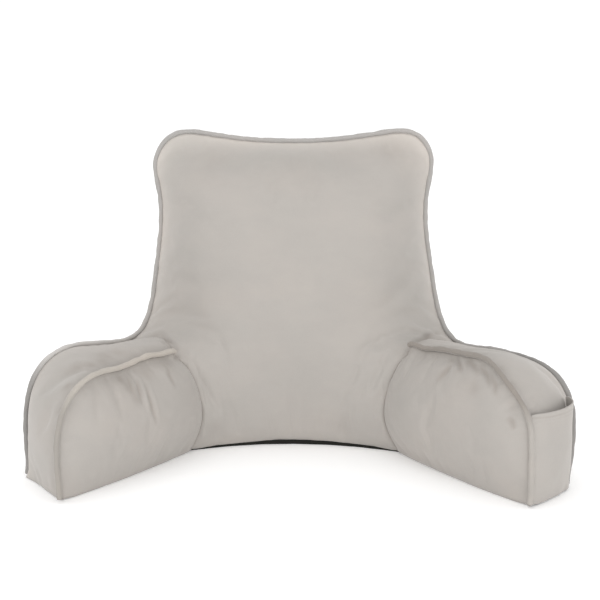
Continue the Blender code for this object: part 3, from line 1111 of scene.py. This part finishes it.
def stitch_lines(piece):
    """Bevels the plain seams into a strip, pushes its middle in and paints shade into it."""
    work = bmesh.new()
    work.from_mesh(piece.data)
    plain = work.verts.layers.float["plain"]
    fold = work.verts.layers.float["fold"]
    shade_and_spots = work.verts.layers.float["shade_and_spots"]
    work.normal_update()
    folds = [sagged(line[0]) for line in shoulder_lines]
    sewn = [
        edge
        for edge in work.edges
        if any(all(vert[layer] > ON_SEAM for vert in edge.verts) for layer in (plain, fold))
    ]
    sewn_verts = {vert for edge in sewn for vert in edge.verts}
    middle = [(vert.co.copy(), vert.normal.copy()) for vert in sewn_verts]
    middle.sort(key=lambda spot: tuple(spot[0]))
    narrow_strip(work, sewn, GROOVE_HALF)
    finder = finder_of(place for place, _ in middle)
    pushed = 0
    for vert in work.verts:
        place, index, distance = finder.find(vert.co)
        if distance < GROOVE_HALF * STRIP_MIDDLE:
            start = min((place - fold_start).length for fold_start in folds)
            fading = 1.0 if vert[plain] > 0.5 else max(0.0, 1.0 - start / SHOULDER_FADE)
            vert.co -= middle[index][1] * GROOVE_DEPTH * fading
            # Painted shade in the groove, fading out along the shoulder fold
            vert[shade_and_spots] = max(vert[shade_and_spots], fading)
            pushed += 1
    work.to_mesh(piece.data)
    work.free()
    return len(sewn), pushed


print("stitched edges and pushed vertices:", stitch_lines(body))

# %% [markdown]
# The filled arm must not poke through its pocket. The cloth behind the panel is held
# back to just behind the panel's own thickness, and this fades out at both sides and
# above the mouth, where the arm swells free again.

# %% Hold the cloth back behind the pocket
ARM_FRONT_X = 0.25
ARM_FRONT_Y = -0.05
BEHIND_CLEAR = 0.0012
ABOVE_MOUTH = 0.018
FAR_EDGE_LESS = 0.003
SIDE_OUT = 0.002
SIDE_FADE = 0.007
BEHIND_REACH = 0.03


def keep_behind(piece, panel, clear):
    """Holds the cloth back where a panel covers it, so that it never pokes through."""
    tree = cloth_tree(panel)
    top = panel_high.z + ABOVE_MOUTH
    held = 0
    for vert in piece.data.vertices:
        if vert.co.x < ARM_FRONT_X or vert.co.y > ARM_FRONT_Y or vert.co.z > top:
            continue
        near, _, _, distance = tree.find_nearest(vert.co)
        ahead = (vert.co - near).dot(panel_way)
        from_near = (vert.co - near_side).dot(across_way)
        from_far = (far_side - vert.co).dot(across_way) - FAR_EDGE_LESS
        share = unit((min(from_near, from_far) + SIDE_OUT) / SIDE_FADE)
        share *= unit((top - vert.co.z) / ABOVE_MOUTH)
        if distance < BEHIND_REACH and ahead > -clear and share > 0:
            vert.co -= panel_way * (ahead + clear) * share
            held += 1
    piece.data.update()
    return held


held_back = keep_behind(body, pocket, POCKET_CLOTH + BEHIND_CLEAR)
print("held back by the pocket:", held_back, "vertices")

# %% [markdown]
# ## Foot of the body
#
# The cover comes right down to the floor on both arms and at the back. Only under the
# front of the back does it stop a few millimetres up, and there the dark lining shows.
# The lowest ring of the mesh is let down, and then turned in underneath and closed.

# %% Let the foot down and close the sole
FOOT_CLEAR = 0.0006
FOOT_HEIGHT = 0.03
FOOT_ROLL = 0.0012
TOE = 0.0052
TOE_HEIGHT = 0.013
TOE_REACH = 0.022
TURN_IN = 0.010
TURNED_UP = 0.0042
FRONT_MIDDLE = -0.006
FRONT_HALF = 0.178
FRONT_FADE = 0.05
FRONT_BAND = (0.01, 0.12)
LIFTED = 0.0042
LIFTED_ENDS = 0.0008
LIFTED_MOST_AT = -0.020
LIFTED_LEFT = 0.055
LIFTED_RIGHT = 0.105

cord_feet = [routes["outer"][0], routes["outer"][-1], routes["left"][0], routes["right"][0]]


def at_front(place):
    """How much of the front gap under the back is felt there, from 0 to 1."""
    if not FRONT_BAND[0] < place.y < FRONT_BAND[1]:
        return 0.0
    return unit((FRONT_HALF - abs(place.x - FRONT_MIDDLE)) / FRONT_FADE)


def lining_shows(place):
    """How much higher the velvet's edge is there, thickest left of the middle."""
    width = LIFTED_LEFT if place.x < LIFTED_MOST_AT else LIFTED_RIGHT
    share = (place.x - LIFTED_MOST_AT) / width
    ragged = 1.0 + 0.25 * noise.noise(place * 60.0)
    return (LIFTED * math.exp(-share * share) + LIFTED_ENDS) * ragged


def let_down(place, outward, low):
    """Where a point near the floor goes, as the cover comes down and rolls out."""
    share = 1.0 - (place.z - low) / (FOOT_HEIGHT - low)
    gap = at_front(place)
    rise = gap * lining_shows(place) - (low - FOOT_CLEAR) * (1.0 - gap)
    flat = Vector((outward.x, outward.y, 0.0)).normalized()
    near = min((place.xy - foot.xy).length for foot in cord_feet)
    toe = TOE * math.exp(-((near / TOE_REACH) ** 2)) * max(0.0, 1.0 - place.z / TOE_HEIGHT)
    wave = 1.0 + 0.8 * noise.noise(Vector((place.x, place.y, 0.0)) / 0.035)
    roll = FOOT_ROLL * wave * share * share * (1.0 - gap)
    return place + flat * (toe + roll) + Vector((0.0, 0.0, rise * share * share))


def close_foot(piece):
    """Lets the foot down, turns its rim in and fills the hole. Counts the open edges."""
    work = bmesh.new()
    work.from_mesh(piece.data)
    work.normal_update()
    low = min(vert.co.z for vert in work.verts)
    near_floor = [vert for vert in work.verts if vert.co.z < FOOT_HEIGHT]
    for vert in near_floor:
        vert.co = let_down(vert.co, vert.normal, low)
    work.normal_update()
    rim = [edge for edge in work.edges if edge.is_boundary]
    wall = {vert: vert.normal.copy() for edge in rim for vert in edge.verts}
    turned = bmesh.ops.extrude_edge_only(work, edges=rim)["geom"]
    for vert in turned:
        if isinstance(vert, bmesh.types.BMVert):
            linked = (other for edge in vert.link_edges for other in edge.verts)
            above = next(other for other in linked if other in wall)
            inward = -Vector((wall[above].x, wall[above].y, 0.0)).normalized()
            vert.co += inward * TURN_IN
            vert.co.z = TURNED_UP
    rim = [edge for edge in work.edges if edge.is_boundary]
    bmesh.ops.triangle_fill(work, use_beauty=True, use_dissolve=False, edges=rim)
    bmesh.ops.recalc_face_normals(work, faces=work.faces)
    work.to_mesh(piece.data)
    still_open = sum(1 for edge in work.edges if edge.is_boundary)
    work.free()
    piece.data.shade_smooth()
    return still_open


print("open edges after the sole:", close_foot(body))
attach(body, "root")
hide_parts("body")

# %% [markdown]
# ## Cords
#
# A piping cord is a soft round cord wrapped in a strip of velvet cut on the bias and
# sewn into the seam. A tube of one radius looks like wire, so its radius drifts a
# little along its way, as the wrapped cloth puckers. The tube is a curve with a round
# bevel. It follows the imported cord, nested a little deeper into the cloth, and deeper
# still at its feet and round the top of the back. The arm cords run on until they dive
# into the corner where the arm meets the back.

# %% Cords
CORD_RADIUS = 0.0041
CORD_NEST = 0.0010
RIM_NEST = 0.0014
CORD_STEP = 0.0035
CORD_FOOT_END = 0.0058
CORD_CROOKED = 0.0006
FOOT_SINK = 0.0026
FOOT_BACK = Vector((0.0, 0.005, 0.0))
FOOT_SINK_HEIGHT = 0.09
DIVE = Vector((0.0, 0.002, -0.003))
CROOKED_STEP = 0.015
PUCKERS = ((0.018, 0.0, 0.17), (0.008, 4.0, 0.11))

skin = cloth_tree(body)


def rounded(points, rounds):
    """The points with each but the ends moved towards the middle of its neighbours."""
    for _ in range(rounds):
        inner = [(a + 2 * b + c) / 4 for a, b, c in zip(points, points[1:], points[2:])]
        points = [points[0], *inner, points[-1]]
    return points


def nested(point, sinks):
    """The point moved along the way from the cloth, until the cord sits in the seam.
    One that sinks goes in deeper, and further back, the nearer it is to the floor."""
    share = max(0.0, 1.0 - point.z / FOOT_SINK_HEIGHT) if sinks else 0.0
    rim = unit((point.z - RIM_FROM) / (RIM_FULL - RIM_FROM)) if sinks else 0.0
    point = point + FOOT_BACK * share
    near, _, _, _ = skin.find_nearest(point)
    sunk = CORD_NEST + FOOT_SINK * share + RIM_NEST * rim
    return near + (point - near).normalized() * (CORD_RADIUS - sunk)


def cord(name, route, material, seed, dives):
    """A piping cord. One that dives ends inside the cloth, the other has two feet."""
    points = [nested(sagged(point), not dives) for point, _ in along(route, CORD_STEP)]
    points = rounded(points, 4)
    for foot in (0,) if dives else (0, -1):
        points[foot] = Vector((points[foot].x, points[foot].y, CORD_FOOT_END))
    if dives:
        onward = (points[-1] - points[-3]).normalized()
        points += [points[-1] + onward * 0.004, points[-1] + onward * 0.008 + DIVE]
    curve = bpy.data.curves.new(name, "CURVE")
    curve.dimensions = "3D"
    curve.bevel_depth = CORD_RADIUS
    curve.bevel_resolution = 4
    curve.use_fill_caps = True
    spline = curve.splines.new("POLY")
    spline.points.add(len(points) - 1)
    for number, (target, point) in enumerate(zip(spline.points, points)):
        far = number * CORD_STEP
        crooked = noise.noise_vector(Vector((far / CROOKED_STEP, seed, 9.0))) * CORD_CROOKED
        target.co = (*(point + crooked), 1.0)
        target.radius = 1.0 + sum(
            noise.noise(Vector((far / step, seed, row))) * much for step, row, much in PUCKERS
        )
    curve.materials.append(material)
    piece = bpy.data.objects.new(name, curve)
    scene.collection.objects.link(piece)
    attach(piece, "root")
    return piece


outer_cord = cord("outer_cord", routes["outer"], cord_velvet, 1.5, dives=False)
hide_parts("outer_piping")
for side, finish, seed in (("left", arm_cord_lit_on_top, 4.5), ("right", arm_cord_shaded_on_top, 5.5)):
    arm_cord = cord("arm_cord_" + side, routes[side], finish, seed, dives=True)
    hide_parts("arm_piping_" + side)

# %% [markdown]
# The pocket's panel gets the cloth's thickness on its inner side, and shade is painted
# along the stitch line of its hem.

# %% Finish the pocket
HEM_SHADE = 0.25
HEM_SHADE_WIDTH = 0.0012

thick = pocket.modifiers.new("cloth", "SOLIDIFY")
thick.thickness = POCKET_CLOTH
thick.offset = -1.0
modifiers_applied(pocket)
drop = mouth_z - places(pocket.data)[:, 2]
# Painted shade along the dip of the hem's stitch line
marked(pocket.data, "shade_and_spots", HEM_SHADE * bell(drop - HEM, HEM_SHADE_WIDTH))
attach(pocket, "root")
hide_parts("pocket")
print("pocket:", len(pocket.data.vertices), "vertices, mouth at", round(mouth_z, 3))

# %% [markdown]
# ## Dark lining underneath
#
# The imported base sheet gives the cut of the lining. Its edge is rounded a little, as
# a folded edge is, so the line under the back isn't razor sharp. Its upper side follows
# the velvet's edge up, so nothing shows between the two.

# %% Base lining
LINING_EDGE = 0.0008
LEVEL = 0.0005
SHARP_ANGLE = 1.0
LINING_MIDDLE = 0.0015
LINING_FOLLOWS = 0.8


def lining_sheet():
    """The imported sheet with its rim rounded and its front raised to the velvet."""
    work = joined_copy("base_sheet")
    rim = []
    for edge in work.edges:
        rise = abs(edge.verts[0].co.z - edge.verts[1].co.z)
        if rise < LEVEL and edge.calc_face_angle(0.0) > SHARP_ANGLE:
            rim.append(edge)
    narrow_strip(work, rim, LINING_EDGE)
    front = [edge for edge in work.edges if all(at_front(vert.co) > 0 for vert in edge.verts)]
    bmesh.ops.subdivide_edges(work, edges=front, cuts=7, use_grid_fill=False)
    for vert in work.verts:
        if vert.co.z > LINING_MIDDLE:
            vert.co.z += at_front(vert.co) * lining_shows(vert.co) * LINING_FOLLOWS
    return work


lining_work = lining_sheet()
lining_area = sum(face.calc_area() for face in lining_work.faces if face.normal.z > 0.9)
base = as_object("dark_base_cloth", lining_work, lining)
base.data.shade_flat()
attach(base, "root")
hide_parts("base_sheet")
print("lining area", round(lining_area, 4), "square metres")
